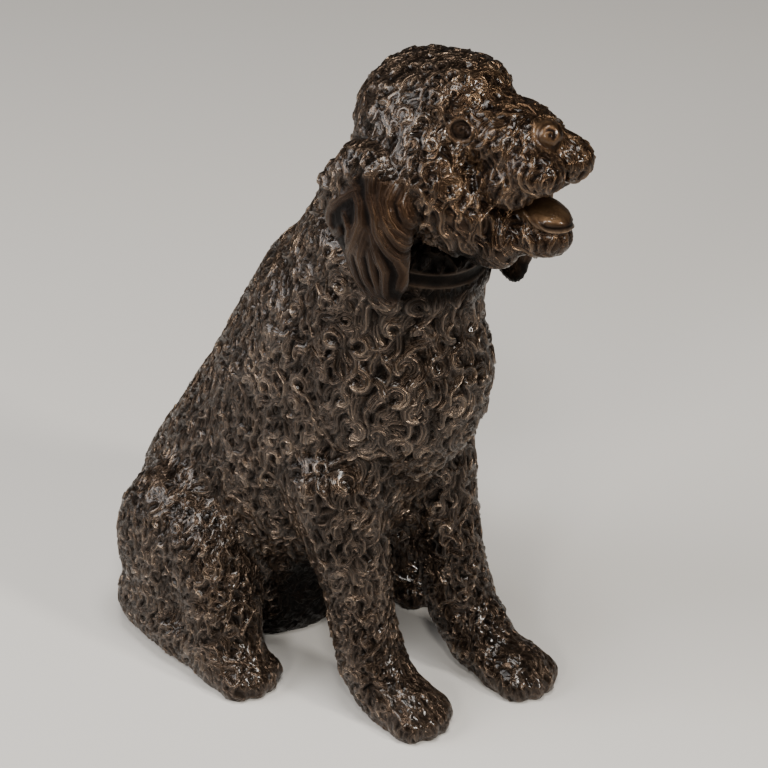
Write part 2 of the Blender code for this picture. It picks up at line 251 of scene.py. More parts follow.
def socket_centre(eye):
    """Middle of the dish that an eye looks out of."""
    return np.array(eye, dtype=float) + SOCKET_REACH * eye_look(eye)


def clay_distance(points):
    """Distance from each point to the smooth figure, below its coat.

    The last number of each melt and gather is the width of its fillet.
    """
    figure = melt(trunk_distance(points), ball(points, *BELLY), 34)
    figure = melt(figure, ball(points, *CHEST), 34)
    head = gather(points, HEAD, 15)
    head = melt(head, gather(points, MOUSTACHE, 5), 8)
    figure = melt(figure, head, 20)
    figure = melt(figure, gather(points, JAW, 8), 6)
    for thigh in THIGHS:
        figure = melt(figure, ball(points, *thigh), 16)
    for foreleg in (RIGHT_FORELEG, LEFT_FORELEG):
        figure = melt(figure, limb(points, foreleg), 16)
    for hind in (RIGHT_HOCK, LEFT_HOCK, RIGHT_SHIN, LEFT_SHIN):
        figure = melt(figure, limb(points, hind), 12)
    for palm, toes in paw_masses():
        figure = melt(figure, ball(points, *palm), 10)
        for toe in toes:
            figure = melt(figure, ball(points, *toe), 4)
    figure = melt(figure, limb(points, TAIL), 5)
    figure = melt(figure, ear_distance(points), 5)
    figure = melt(figure, ball(points, *TONGUE), 3)
    for eye in EYES:
        dish = SOCKET_RADIUS - np.linalg.norm(points - socket_centre(eye), axis=1)
        figure = -melt(-figure, -dish, 4)
    figure = melt(figure, eye_distance(points), 1.5)
    return melt(figure, ball(points, *NOSE), 2)


def surface_slope(points, step=0.5):
    """Unit direction in which the distance grows."""
    slope = np.empty_like(points)
    for axis in range(3):
        offset = np.zeros(3)
        offset[axis] = step
        slope[:, axis] = clay_distance(points + offset) - clay_distance(points - offset)
    return slope / np.maximum(np.linalg.norm(slope, axis=1), 1e-9)[:, None]


def settle(points, rounds):
    """Move points onto the smooth figure."""
    for _ in range(rounds):
        reach = np.clip(clay_distance(points), -4.0, 4.0)
        points = points - reach[:, None] * surface_slope(points)
    return points


# Mesh and number tools

def add_ball(mesh, centre, half_axes, turn=(0, 0, 0)):
    """Add one ellipsoid to a mesh."""
    made = bmesh.ops.create_icosphere(mesh, subdivisions=4, radius=1.0)
    shape = turn_matrix(turn) * np.array(half_axes, dtype=float)
    for vertex in made["verts"]:
        vertex.co = shape @ np.array(vertex.co) + np.array(centre, dtype=float)


def add_chain(mesh, masses):
    """Add a chain of ellipsoids with the hulls between them."""
    for pair in zip(masses[:-1], masses[1:]):
        hull = bmesh.new()
        for centre, half_axes in pair:
            add_ball(hull, centre, half_axes)
        bmesh.ops.convex_hull(hull, input=hull.verts)
        loose = [vertex for vertex in hull.verts if not vertex.link_faces]
        bmesh.ops.delete(hull, geom=loose, context="VERTS")
        piece = bpy.data.meshes.new("hull")
        hull.to_mesh(piece)
        hull.free()
        mesh.from_mesh(piece)
        bpy.data.meshes.remove(piece)


def mass_mesh():
    """All the masses of the figure in one mesh, not yet joined."""
    mesh = bmesh.new()
    masses = [CHEST, BELLY, TONGUE, NOSE] + THIGHS + HEAD + MOUSTACHE + JAW + RIGHT_EAR + LEFT_EAR
    for mass in masses:
        add_ball(mesh, *mass)
    add_chain(mesh, [((0, y, z), (width, depth, depth)) for y, z, depth, width in TRUNK])
    for palm, toes in paw_masses():
        for mass in [palm] + toes:
            add_ball(mesh, *mass)
    limbs = [RIGHT_FORELEG, LEFT_FORELEG, RIGHT_HOCK, LEFT_HOCK, RIGHT_SHIN, LEFT_SHIN, TAIL]
    for stations in limbs:
        add_chain(mesh, [((x, y, z), (radius, radius, radius)) for x, y, z, radius in stations])
    return mesh


def with_modifier(thing, kind, **settings):
    """Apply one modifier and put its result in the object's mesh."""
    modifier = thing.modifiers.new(kind.title(), kind)
    for name, value in settings.items():
        setattr(modifier, name, value)
    bpy.context.view_layer.update()
    depsgraph = bpy.context.evaluated_depsgraph_get()
    result = bpy.data.meshes.new_from_object(thing.evaluated_get(depsgraph))
    thing.modifiers.clear()
    old = thing.data
    thing.data = result
    bpy.data.meshes.remove(old)


def skin(thing, voxel):
    """Give the object one closed skin on an even grid."""
    with_modifier(thing, "REMESH", mode="VOXEL", voxel_size=voxel, adaptivity=0.0)


def get_points(thing):
    """Corner positions of an object's mesh, one row each."""
    flat = np.empty(len(thing.data.vertices) * 3)
    thing.data.vertices.foreach_get("co", flat)
    return flat.reshape(-1, 3)


def set_points(thing, points):
    """Put corner positions back into an object's mesh."""
    thing.data.vertices.foreach_set("co", points.ravel())
    thing.data.update()


def get_normals(thing):
    """Outward direction at each corner of an object's mesh."""
    flat = np.empty(len(thing.data.vertices) * 3)
    thing.data.vertex_normals.foreach_get("vector", flat)
    return flat.reshape(-1, 3)


def fade(values, low, high):
    """Smooth step from 0 at low to 1 at high."""
    share = np.clip((values - low) / (high - low), 0.0, 1.0)
    return share * share * (3.0 - 2.0 * share)


def bead(values, middle, width):
    """Rounded ridge that is 1 where the values reach the middle and dies out beside it."""
    return np.exp(-((values - middle) / width) ** 2)


def unit(vectors):
    """Vectors brought to length one."""
    length = np.linalg.norm(vectors, axis=-1, keepdims=True)
    return vectors / np.maximum(length, 1e-9)


class Nearby:
    """Finds the points round a place quickly, by sorting them into cells."""

    def __init__(self, points, cell):
        self.points = points
        self.cell = cell
        keys = np.floor(points / cell).astype(int)
        order = np.lexsort(keys.T)
        ordered = keys[order]
        change = np.nonzero(np.any(np.diff(ordered, axis=0) != 0, axis=1))[0] + 1
        starts = np.concatenate(([0], change))
        ends = np.concatenate((change, [len(points)]))
        self.cells = {
            tuple(ordered[start]): order[start:end] for start, end in zip(starts, ends)
        }

    def within(self, place, reach):
        """Indices of the points within reach of a place."""
        low = np.floor((place - reach) / self.cell).astype(int)
        high = np.floor((place + reach) / self.cell).astype(int)
        found = []
        for i in range(low[0], high[0] + 1):
            for j in range(low[1], high[1] + 1):
                for k in range(low[2], high[2] + 1):
                    members = self.cells.get((i, j, k))
                    if members is not None:
                        found.append(members)
        if not found:
            return np.empty(0, dtype=int)
        found = np.concatenate(found)
        gap = self.points[found] - place
        return found[np.einsum("ij,ij->i", gap, gap) < reach * reach]


# The coat

COAT_LIFT = 0.2          # coat above the smooth figure
WAVE_LIFT = 1.2          # slow swell of the coat
STRAND_PITCH = 3.0       # one carved strand, crest to crest
STRAND_DEPTH = 2.4
GROUND = 0.34            # height of the ground between curls, where a full curl is 1
CELL = 8.0               # side of the cells in which nearby points are looked up
CURL_SPACING = 0.47      # of the two radii, between neighbouring curls

# Radius of a curl over most of the body and in each region of the coat.
BODY_RADIUS = 8.6
REGION_RADII = {
    "chest": 11.5, "haunch": 7.0, "head": 7.2, "skull": 7.8, "muzzle": 7.0, "beard": 9.0,
    "foreleg": 6.2, "paw": 5.6,
}
# Height of a full curl, and the room that a ring needs to the next one where a curl needs 1,
# each over most of the body and what a region adds to it.
RELIEF = 4.4
RELIEF_CHANGES = {
    "chest": 0.8, "haunch": -0.6, "foreleg": -0.6, "muzzle": -1.0, "paw": -1.4, "under": -1.4,
}
RING_GAP = 4.6
RING_GAP_CHANGES = {"chest": -2.0, "haunch": -1.6, "foreleg": -1.2, "head": -2.2, "skull": -0.8}
RING_SHARE = 0.02        # share of all points that may become the middle of a ring
CURL_SHARE = 0.25        # and of another curl
RING_SIZES = (0.95, 1.30)  # least and most radius of a ring, of the radius there
CURL_SIZES = (0.75, 1.25)  # and of another curl
RING_SWING = 0.9         # spread of the rings' turns off the coat's run, in radians
GROUND_ACROSS = (0.8, 0.6, 0.1)  # way across the strands of the ground between curls

# Kinds of curl, and for each the half width and the reach in radii, how much of its run
# fades out at the ends, and the least and most height of its crest.
RING, CRESCENT, LOCK = 0, 1, 2
CURL_WIDTHS = (0.46, 0.54, 0.46)
CURL_LENGTHS = (1.05, 1.50, 2.00)
CURL_ENDS = (0.12, 0.35, 0.35)
CURL_TOPS = ((0.95, 1.20), (0.70, 1.10), (0.70, 1.10))
KNOB = -0.75             # inside this place across a ring, its middle stays a raised knob

# Curls listed one by one on the right of the face and mirrored to the left, as centre, radius,
# the way the tip points and the kind of curl.
FACE_CURLS = [
    ((-43, 30, 572), 8.5, (0, 0, -1), RING),
    ((-24, 55, 586), 8.5, (0, -1, 0), RING),
    ((-22, 8, 572), 7.5, (-0.4, -1, -0.3), RING),
    ((-38, 16, 561), 6.8, (0, -0.6, -1), CRESCENT),
    ((-29, 3, 562), 6.8, (0, -1, -0.6), CRESCENT),
    ((-45, 24, 546), 7.0, (0, 0.4, -1), CRESCENT),
    ((-42, 11, 532), 8.0, (-0.2, -0.1, -1), LOCK),
    ((-50, 8, 508), 13.0, (0, -0.4, -1), RING),
    ((-57, 26, 522), 8.5, (0, 0.5, -1), CRESCENT),
    ((-56, 10, 484), 11.0, (0, -0.5, -1), LOCK),
    ((-44, -3, 488), 9.0, (0, -0.6, -1), LOCK),
    ((-33, -24, 474), 10.0, (0, -0.5, -1), LOCK),
    ((-27, -40, 467), 9.5, (0.1, -0.4, -1), LOCK),
    ((-18, -56, 462), 9.0, (0.2, -0.3, -1), LOCK),
    ((-6, -64, 460), 8.5, (0, -0.1, -1), LOCK),
    ((-30, -8, 452), 10.0, (0, -0.2, -1), LOCK),
    ((-34, -52, 524), 9.0, (-0.3, -0.6, -1), LOCK),
    ((-22, -66, 528), 9.0, (-0.1, -0.4, -1), LOCK),
    ((-9, -67, 528), 8.5, (0.1, -0.3, -1), LOCK),
    ((-16, -71, 520), 8.5, (0.0, -0.2, -1), LOCK),
    ((-29, -62, 518), 8.5, (-0.3, -0.2, -1), LOCK),
    ((-3, -62, 534), 7.5, (0.2, -0.6, -1), LOCK),
    ((-37, -38, 520), 9.0, (-0.4, 0.1, -1), LOCK),
    ((-38, -24, 512), 9.0, (-0.3, 0.4, -1), LOCK),
    ((-33, -34, 540), 8.5, (-0.8, -0.2, -0.8), LOCK),
    ((-24, -44, 546), 7.5, (-0.5, -0.6, -0.8), LOCK),
]


def regions(points):
    """How much each point belongs to the main regions of the coat, 0 to 1."""
    x, y, z = points.T
    head = fade(z, 440, 470)
    skull = fade(z - 0.35 * (y - 20.0), 520, 545) * fade(y, -12, 8)
    muzzle = fade(z, 492, 500) * fade(-y, -8, 14)
    beard = fade(-z, -492, -482) * fade(z, 430, 440) * fade(-y, -22, 0)
    foreleg = fade(-z, -150, -115) * fade(-y, -150, -125)
    paw = np.zeros(len(points))
    for tip_x, tip_y in PAWS:
        gap = np.hypot(x - tip_x, (y - tip_y - 30.0) * 0.75)
        paw = np.maximum(paw, fade(-gap, -36, -26) * fade(-z, -52, -34))
    chest = fade(-y, -118, -92) * fade(z, 190, 230) * fade(-z, -440, -420)
    haunch = fade(y, 175, 200) * fade(-z, -170, -140)
    under = fade(-z, -150, -110) * fade(y, 118, 140) * fade(-np.abs(x), -62, -48)
    return {
        "head": head, "skull": skull, "muzzle": muzzle, "beard": beard,
        "foreleg": foreleg, "paw": paw, "chest": chest, "haunch": haunch,
        "under": under * fade(-y, -230, -200),
    }


def curl_sizes(region):
    """Radius of a curl at each point."""
    size = np.full(len(region["head"]), BODY_RADIUS)
    for name, radius in REGION_RADII.items():
        size += (radius - size) * region[name]
    return size


def changed_by(region, start, changes):
    """A value for each point, from one start and what each region adds to it."""
    value = np.full(len(region["head"]), start)
    for name, change in changes.items():
        value += change * region[name]
    return value


def coat_flow(points, region):
    """Direction in which the coat runs."""
    x, y, z = points.T
    flow = np.stack([0.15 * np.sign(x), 0.35 + 0.0 * y, -1.0 + 0.0 * z], axis=1)
    from_nose = unit(points - np.array((0.0, -40.0, 562.0))) + np.array((0.0, 0.0, -0.5))
    flow += (from_nose - flow) * region["muzzle"][:, None]
    hang = np.stack([0.0 * x, -0.35 + 0.0 * y, -1.0 + 0.0 * z], axis=1)
    flow += (hang - flow) * region["beard"][:, None]
    paw_run = np.stack([0.0 * x, -1.0 + 0.0 * y, -0.6 + 0.0 * z], axis=1)
    flow += (paw_run - flow) * region["paw"][:, None]
    return unit(flow)


def place_curls(points, gaps, rng, taken, share):
    """Pick curl centres from a share of the points, clear of each other and those taken."""
    cell = 12.0
    grid = {}

    def cell_of(place):
        return tuple(np.floor(place / cell).astype(int))

    def is_clear(place, gap):
        i, j, k = cell_of(place)
        for a, b, c in product((-1, 0, 1), repeat=3):
            for other, other_gap in grid.get((i + a, j + b, k + c), ()):
                apart = place - other
                least = CURL_SPACING * (gap + other_gap)
                if apart @ apart < least * least:
                    return False
        return True

    for place, gap in taken:
        grid.setdefault(cell_of(place), []).append((place, gap))
    chosen = []
    for index in rng.permutation(len(points))[: int(len(points) * share)]:
        place, gap = points[index], gaps[index]
        if is_clear(place, gap):
            grid.setdefault(cell_of(place), []).append((place, gap))
            chosen.append(index)
    return chosen


def swung(way, normal, angle):
    """A direction along the surface, turned about the normal by an angle in radians."""
    return way * math.cos(angle) + np.cross(normal, way) * math.sin(angle)


def list_curls(points, normals, region, rng):
    """All curls of the coat as (point at the middle, way of the tip, radius, kind, hand)."""
    curls = []
    taken = []
    grid = Nearby(points, CELL)
    for side in (1, -1):
        for centre, radius, tip, kind in FACE_CURLS:
            place = np.array(centre, dtype=float) * (side, 1, 1)
            around = grid.within(place, 14.0)
            nearest = around[np.argmin(np.linalg.norm(points[around] - place, axis=1))]
            way = np.array(tip, dtype=float) * (side, 1, 1)
            curls.append((nearest, way, radius, kind, side))
            taken.append((points[nearest], radius * 0.9))
    sizes = curl_sizes(region)
    flow = coat_flow(points, region)
    plain = np.maximum.reduce([region["muzzle"], region["beard"], region["paw"]])
    ring_gaps = sizes * changed_by(region, RING_GAP, RING_GAP_CHANGES)
    rings = place_curls(points, ring_gaps, rng, taken, RING_SHARE)
    rings = [index for index in rings if plain[index] < 0.3]
    for index in rings:
        radius = sizes[index] * rng.uniform(*RING_SIZES)
        way = swung(flow[index], normals[index], rng.normal(0.0, RING_SWING))
        curls.append((index, way, radius, RING, rng.choice((-1.0, 1.0))))
        taken.append((points[index], radius * 0.8))
    gaps = sizes * (1.0 + 0.15 * region["head"])
    for index in place_curls(points, gaps, rng, taken, CURL_SHARE):
        close = max(region["haunch"][index], region["foreleg"][index], region["head"][index])
        lock_share = max(0.75 - 0.40 * close - 0.35 * region["chest"][index], plain[index])
        kind = LOCK if rng.random() < lock_share else CRESCENT
        swing = rng.normal(0.0, 0.50 - 0.25 * plain[index])
        way = swung(flow[index], normals[index], swing)
        radius = sizes[index] * rng.uniform(*CURL_SIZES)
        curls.append((index, way, radius, kind, rng.choice((-1.0, 1.0))))
    return curls


def tapered(width, run, taper):
    """Half width along a lock that is round at both ends and narrower at its tip."""
    return width * np.sqrt(np.clip(1.0 - run ** 2, 0.02, None)) * (1.0 - taper * run)


def curl_shape(kind, along, over, rng):
    """Place along a curl and across it, each -1 to 1, from places in radii round its middle."""
    width = CURL_WIDTHS[kind]
    if kind == RING:
        turn = np.arctan2(over, -along) / math.pi
        middle = 0.54 - 0.10 * turn
        half = width * np.sqrt(1.0 - 0.45 * turn ** 2)
        return turn, (np.hypot(along, over) - middle) / half
    if kind == CRESCENT:
        bend = rng.uniform(0.75, 1.5)
        run = np.arctan2(along, bend - over) * bend / 1.35
        return run, (bend - np.hypot(along, over - bend)) / tapered(width, run, 0.25)
    wave = 0.26 * np.sin(2.3 * along + rng.uniform(0.0, math.tau))
    run = along / 1.9
    return run, (over - wave) / tapered(width, run, 0.3)


def carve_curls(points, normals, region):
    """Height of the curls, their strands and the strand count across each, at each point."""
    rng = np.random.default_rng(SEED)
    curls = list_curls(points, normals, region, rng)
    grid = Nearby(points, CELL)
    best = np.full(len(points), GROUND)
    count = points @ np.array(GROUND_ACROSS) / STRAND_PITCH + 0.7 * np.sin(points[:, 2] / 8.0)
    strand = np.abs(np.cos(math.pi * count))
    for index, way, radius, kind, hand in curls:
        centre = points[index]
        near = grid.within(centre, radius * CURL_LENGTHS[kind])
        patch = normals[near]
        middle = np.linalg.norm(points[near] - centre, axis=1) < radius * 0.6
        out = unit(patch[middle].mean(axis=0))
        near = near[patch @ out > 0.0]
        down = unit(way - out * (way @ out))
        side = np.cross(out, down) * hand
        offset = (points[near] - centre) / radius
        run, across = curl_shape(kind, offset @ down, offset @ side, rng)
        ends = fade(1.0 - np.abs(run), 0.0, CURL_ENDS[kind])
        edge = np.maximum(across, KNOB) if kind == RING else across
        dome = np.clip(1.0 - edge ** 2, 0.0, None) ** 0.42 * ends
        lift = dome * (0.76 + 0.24 * run) * rng.uniform(*CURL_TOPS[kind])
        strands = max(2.0, round(2.0 * CURL_WIDTHS[kind] * radius / STRAND_PITCH))
        turns = across * strands / 2.0 + (0.5 if strands % 2 == 0 else 0.0)
        rise = 0.72 + 0.28 * np.cos(2.4 * np.round(turns) + rng.uniform(0.0, math.tau))
        ridge = np.abs(np.cos(math.pi * turns)) ** 0.8 * rise
        wins = lift > best[near]
        inside = near[wins]
        best[inside] = lift[wins]
        strand[inside] = ridge[wins]
        count[inside] = turns[wins]
    return best, strand, count


def painted_shade(points):
    """Painted shade under the jaw and the belly, where the coat is painted darker, 0 to 1."""
    x, y, z = points.T
    throat = fade(z, 385.0, 400.0) * fade(-z, -462.0, -448.0) * fade(-y, -75.0, -55.0)
    throat = throat * fade(-np.abs(x), -56.0, -44.0) * fade(y, -20.0, 0.0)
    belly = fade(-z, -190.0, -140.0) * fade(y, 112.0, 140.0) * fade(-y, -240.0, -210.0)
    return np.maximum(throat, belly * fade(-np.abs(x), -66.0, -50.0))


def swell(points):
    """Slow swell of the coat, -1 to 1."""
    x, y, z = points.T
    waves = np.sin(x / 13.0 + 1.7 * np.sin(z / 31.0)) + np.sin(z / 17.0 + y / 23.0)
    return (waves + np.sin(y / 15.0 - z / 27.0 + 2.0)) / 3.0


# Ears, face and collar

EAR_DEPTH = 3.6          # height of a full ear lock
EAR_STRAND_PITCH = 3.4
EAR_TOP = 512.0          # height of the ears' roots
LEFT_EAR_STRETCH = 0.83  # right ear's length over the left one's, which hangs lower
LEFT_EAR_LEAN = 0.10     # how much further forward the left ear hangs for each unit down
# Locks of the right ear, as half width and stations (y, z) from root to tip.
EAR_LOCKS = [
    (6.5, [(74, 498), (90, 486), (104, 471), (107, 458), (100, 450), (90, 458), (92, 468)]),
    (6.0, [(103, 449), (97, 438), (87, 428), (78, 414), (66, 402)]),
    (7.0, [(80, 502), (69, 487), (67, 473), (74, 455), (82, 440), (82, 425), (72, 409)]),
    (5.0, [(85, 474), (78, 463), (83, 447)]),
    (7.5, [(63, 512), (61, 496), (53, 483), (50, 470), (43, 459), (34, 449), (31, 435), (38, 412)]),
    (7.0, [(61, 468), (70, 444), (68, 424), (56, 406)]),
    (6.0, [(56, 466), (51, 450), (46, 436), (50, 408)]),
    (5.0, [(58, 452), (57, 432), (54, 410)]),
    (6.5, [(41, 514), (45, 494), (40, 481), (30, 471), (20, 461)]),
    (6.0, [(52, 512), (52, 494), (45, 480), (36, 468), (27, 456), (24, 441), (31, 418)]),
    (7.0, [(30, 512), (33, 495), (27, 481), (16, 472)]),
]


def along_lock(across_down, stations):
    """Place along a lock, 0 to 1, and signed distance from its middle line."""
    line = np.array(stations, dtype=float)
    runs = np.diff(line, axis=0)
    lengths = np.linalg.norm(runs, axis=1)
    before = np.concatenate(([0.0], np.cumsum(lengths)))
    place = np.zeros(len(across_down))
    reach = np.full(len(across_down), np.inf)
    for start, run, length, passed in zip(line[:-1], runs, lengths, before[:-1]):
        offset = across_down - start
        share = np.clip(offset @ run / length ** 2, 0.0, 1.0)
        gap = offset - share[:, None] * run
        side = np.sign(run[0] * offset[:, 1] - run[1] * offset[:, 0])
        distance = np.linalg.norm(gap, axis=1)
        nearer = distance < np.abs(reach)
        reach[nearer] = (distance * side)[nearer]
        place[nearer] = (passed + share * length)[nearer] / before[-1]
    return place, reach


def ear_carving(points):
    """Locks of the ears: how much ear, height, strand height and strand count at each point.

    The left ear takes the right one's locks, moved to where they would lie on the right ear.
    """
    x, y, z = points.T
    ear = fade(-ear_distance(points), -4.5, -1.0) * fade(np.abs(x), 56, 64)
    root = 510.0 - 1.1 * np.maximum(y - 72.0, 0.0)
    ear = ear * fade(root - z, -6.0, 6.0) * np.where(x < 0.0, fade(z, 400.0, 416.0), 1.0)
    best = np.full(len(points), GROUND)
    count = y / EAR_STRAND_PITCH
    left = x > 0.0
    drop = EAR_TOP - z
    across_down = np.stack([
        np.where(left, y + LEFT_EAR_LEAN * drop, y),
        np.where(left, EAR_TOP - LEFT_EAR_STRETCH * drop, z),
    ], axis=1)
    for half, stations in EAR_LOCKS:
        place, reach = along_lock(across_down, stations)
        width = half * (1.0 - 0.35 * place ** 2)
        dome = np.clip(1.0 - (reach / width) ** 2, 0.0, None) ** 0.45
        lift = dome * fade(1.0 - place, 0.0, 0.1) * (1.0 - 0.15 * np.cos(6.0 * place))
        wins = lift > best
        best[wins] = lift[wins]
        count[wins] = reach[wins] / EAR_STRAND_PITCH
    split = np.abs(np.cos(math.pi * count))
    return ear, best, split, count


# Lid, groove under it, edge of the iris and pupil, as height, radius and width.
EYE_RINGS = [(1.7, 9.0, 1.2), (-1.7, 6.9, 0.9), (-1.0, 4.0, 0.7), (-1.6, 0.0, 1.3)]


def eye_carving(points):
    """Lids, irises and pupils: how much eye and height at each point."""
    amount = np.zeros(len(points))
    height = np.zeros(len(points))
    for eye in EYES:
        look = unit(eye_look(eye))
        offset = points - np.array(eye, dtype=float)
        facing = fade(offset @ look, -6.0, -1.0)
        lateral = np.linalg.norm(offset - np.outer(offset @ look, look), axis=1)
        mask = fade(-lateral, -12.0, -10.2) * facing
        shape = sum(rise * bead(lateral, radius, width) for rise, radius, width in EYE_RINGS)
        height = np.where(mask > amount, shape, height)
        amount = np.maximum(amount, mask)
    return amount, height


def nose_carving(points):
    """Nostrils in their round wings: how much nose and height at each point."""
    amount = fade(-ball(points, *NOSE), -3.5, -0.8)
    offset = points - np.array(NOSE[0], dtype=float)
    height = np.zeros(len(points))
    for side in (-1.0, 1.0):
        axis = unit(np.array((side * 0.58, -0.68, 0.42)))
        level = unit(np.cross(axis, (0.0, 0.0, 1.0))) * side
        rise = np.cross(level, axis) * side
        across, up = offset @ level, offset @ rise
        reach = np.hypot(across, up)
        angle = np.arctan2(up, across)
        near = fade(offset @ axis, 0.5, 4.0) * fade(side * offset[:, 0], -1.0, 1.5)
        ring = bead(reach, 9.2, 0.8)
        hook = 2.2 * bead(reach - 3.8, 0.5 * angle, 0.9) * fade(np.cos(angle - 0.6), -0.5, 0.2)
        pit = 2.2 * bead(reach, 0.0, 1.6)
        height -= near * (ring + hook + pit)
    split = bead(offset[:, 0], 0.0, 1.0) * fade(-offset[:, 2], 0.0, 3.0)
    height -= 1.3 * split * fade(-offset[:, 1], 3.0, 7.0)
    return amount, height


def lip_carving(points):
    """Two beads along the lower lip and the bare chin below: how much and height."""
    y, z = points[:, 1], points[:, 2]
    rim = 479.5 + 12.0 * fade(y, -58.0, -34.0)
    jaw = np.minimum(gather(points, JAW, 8), ball(points, *TONGUE))
    beside = fade(-jaw, -6.0, -2.5) * fade(-y, 12.0, 22.0)
    apart = 5.4 * fade(y, -62.0, -48.0)
    outer = 1.4 * bead(z, rim, 1.2)
    inner = 1.7 * bead(z - rim, apart, 1.2)
    groove = -1.2 * bead(z - rim - 0.5 * apart, 2.6, 1.0)
    amount = fade(z - rim, -2.8, -1.2) * fade(rim - z, -8.5, -6.5)
    chin = 0.4 * fade(-y, 56.0, 64.0) * fade(z, 456.0, 464.0) * fade(rim - z, 0.0, 2.0)
    return np.maximum(amount, chin) * beside, np.maximum(outer, inner) + groove - 0.4


def collar_carving(points):
    """The collar band at the throat: how much band and height at each point."""
    y, z = points[:, 1], points[:, 2]
    level = z - COLLAR_HEIGHT - COLLAR_SLOPE * (y - COLLAR_MIDDLE)
    beyond = np.abs(level) - COLLAR_HALF_WIDTH
    amount = fade(-np.abs(level), -COLLAR_HALF_WIDTH - 1.5, -COLLAR_HALF_WIDTH + 1.0)
    return amount * fade(-y, -92, -72), 0.4 + 1.8 * bead(beyond, -1.2, 1.2)


def carve_coat(thing):
    """Carve the whole coat and give back the values that the patina follows."""
    points = get_points(thing)
    normals = get_normals(thing)
    region = regions(points)
    best, strand, count = carve_curls(points, normals, region)
    relief = changed_by(region, RELIEF, RELIEF_CHANGES)
    depth = STRAND_DEPTH * (1.0 - 0.40 * region["paw"])
    height = COAT_LIFT + (best - 0.5) * relief + (strand - 0.5) * depth * fade(best, 0.02, 0.4)
    height += WAVE_LIFT * swell(points) * (1.0 - region["head"]) * (1.0 - region["paw"])
    crest = np.clip(0.50 * best + 0.40 * strand * fade(best, 0.0, 0.5), 0.0, 1.0)
    crest += 0.45 * (0.60 - crest) * region["paw"]
    # Painted shade: the coat is painted darker under the jaw and the belly.
    crest = crest * (1.0 - 0.55 * painted_shade(points))

    ear, lock, split, ear_count = ear_carving(points)
    count = np.where(ear > 0.5, ear_count, count)
    ear_height = (lock - 0.6) * EAR_DEPTH + (split - 0.5) * 0.8
    tongue = fade(-ball(points, *TONGUE), -3.0, -0.6) * fade(points[:, 2], 481, 486)
    groove = -0.8 * bead(points[:, 0], 0.0, 1.6)
    band, band_height = collar_carving(points)
    band = band * (1.0 - ear)
    nose, nose_height = nose_carving(points)
    eye, eye_height = eye_carving(points)
    lip, lip_height = lip_carving(points)
    lip = lip * (1.0 - nose)

    # What is cut over the coat, as how much of it there is, its height and its crest value.
    features = [
        (ear, ear_height, np.clip(0.36 * lock + 0.11 * split, 0, 1)), (tongue, groove, 0.64),
        # The collar band is painted dark with lighter edges; its darkness is partly painted shade
        # under the jaw.
        (band, band_height, 0.14 + 0.17 * band_height),
        (nose, nose_height, 0.58 + 0.22 * nose_height),
        (eye, eye_height, 0.42 + 0.14 * eye_height), (lip, lip_height, 0.5 + 0.2 * lip_height),
    ]
    for amount, own_height, own_crest in features:
        height += (own_height - height) * amount
        crest += (own_crest - crest) * amount
    smooth = np.maximum.reduce([tongue, band, nose, eye, lip, 0.45 * ear])
    face_front = fade(points[:, 2], 440, 470) * fade(-points[:, 1], -50, 0)
    warm = np.maximum.reduce([ear, face_front * 0.75, nose, tongue])
    set_points(thing, points + normals * height[:, None])
    return {
        "crest": np.clip(crest, 0.0, 1.0), "strands": count, "smooth": smooth,
        "warm": warm,
    }


def put_values(thing, values):
    """Store the carving's values on the corners of the mesh."""
    for name, value in values.items():
        layer = thing.data.attributes.new(name, "FLOAT", "POINT")
        layer.data.foreach_set("value", value.astype(np.float32))


def reduce_facets(thing, values):
    """Thin the facets out, least on the face and on the side that is seen most."""
    points = get_points(thing)
    tree = kdtree.KDTree(len(points))
    for index, point in enumerate(points):
        tree.insert(point, index)
    tree.balance()
    x, y, z = points.T
    face = fade(z, 425, 455) * fade(-y, -80, -50)
    shown = fade(-x - 0.9 * (y - 160.0), -60.0, 60.0)
    keep = np.clip(0.40 * face + 0.48 * shown, 0.0, 0.88)
    steps = np.round(keep * (100 // KEEP_STEP)).astype(int)
    group = thing.vertex_groups.new(name="plain")
    for step in range(steps.max() + 1):
        chosen = np.nonzero(steps == step)[0]
        group.add([int(index) for index in chosen], 1.0 - step * KEEP_STEP / 100.0, "REPLACE")
    faces = sum(len(polygon.vertices) - 2 for polygon in thing.data.polygons)
    with_modifier(
        thing, "DECIMATE", ratio=TRIANGLES / faces, use_collapse_triangulate=True,
        vertex_group="plain", vertex_group_factor=1.0,
    )
    thing.vertex_groups.clear()
    for name in [layer.name for layer in thing.data.attributes if layer.name in values]:
        thing.data.attributes.remove(thing.data.attributes[name])
    nearest = np.array([tree.find(point)[1] for point in get_points(thing)])
    put_values(thing, {name: value[nearest] for name, value in values.items()})


def set_down(thing):
    """Stand the figure where the solid stands, in metres, and keep it within its box."""
    points = get_points(thing)
    points[:, 2] = np.maximum(points[:, 2] - SOLE_DEPTH, 0.0)
    points *= UNIT
    low, high = (np.array(corner) for corner in CAD_BOX)
    extent = points.max(axis=0) - points.min(axis=0)
    points *= np.minimum((high - low - BOX_MARGIN) / extent, 1.0)
    middle = (points.min(axis=0) + points.max(axis=0)) / 2.0
    points[:, :2] += ((low + high) / 2.0 - middle)[:2]
    set_points(thing, points)


def build_dog():
    """Model the whole casting and put its finish on."""
    masses = mass_mesh()
    mesh = bpy.data.meshes.new("bronze_dog")
    masses.to_mesh(mesh)
    masses.free()
    dog = bpy.data.objects.new("bronze_dog", mesh)
    bpy.context.scene.collection.objects.link(dog)
    skin(dog, ROUGH_VOXEL)
    set_points(dog, settle(get_points(dog), 5))
    skin(dog, FINE_VOXEL)
    for _ in range(2):
        points = get_points(dog)
        reach = np.clip(clay_distance(points), -2.0, 2.0)
        set_points(dog, points - get_normals(dog) * reach[:, None])
    values = carve_coat(dog)
    reduce_facets(dog, values)
    set_down(dog)
    dog.data.shade_smooth()
    dog.data.materials.clear()
    dog.data.materials.append(bronze_material())
    return dog


# The bronze

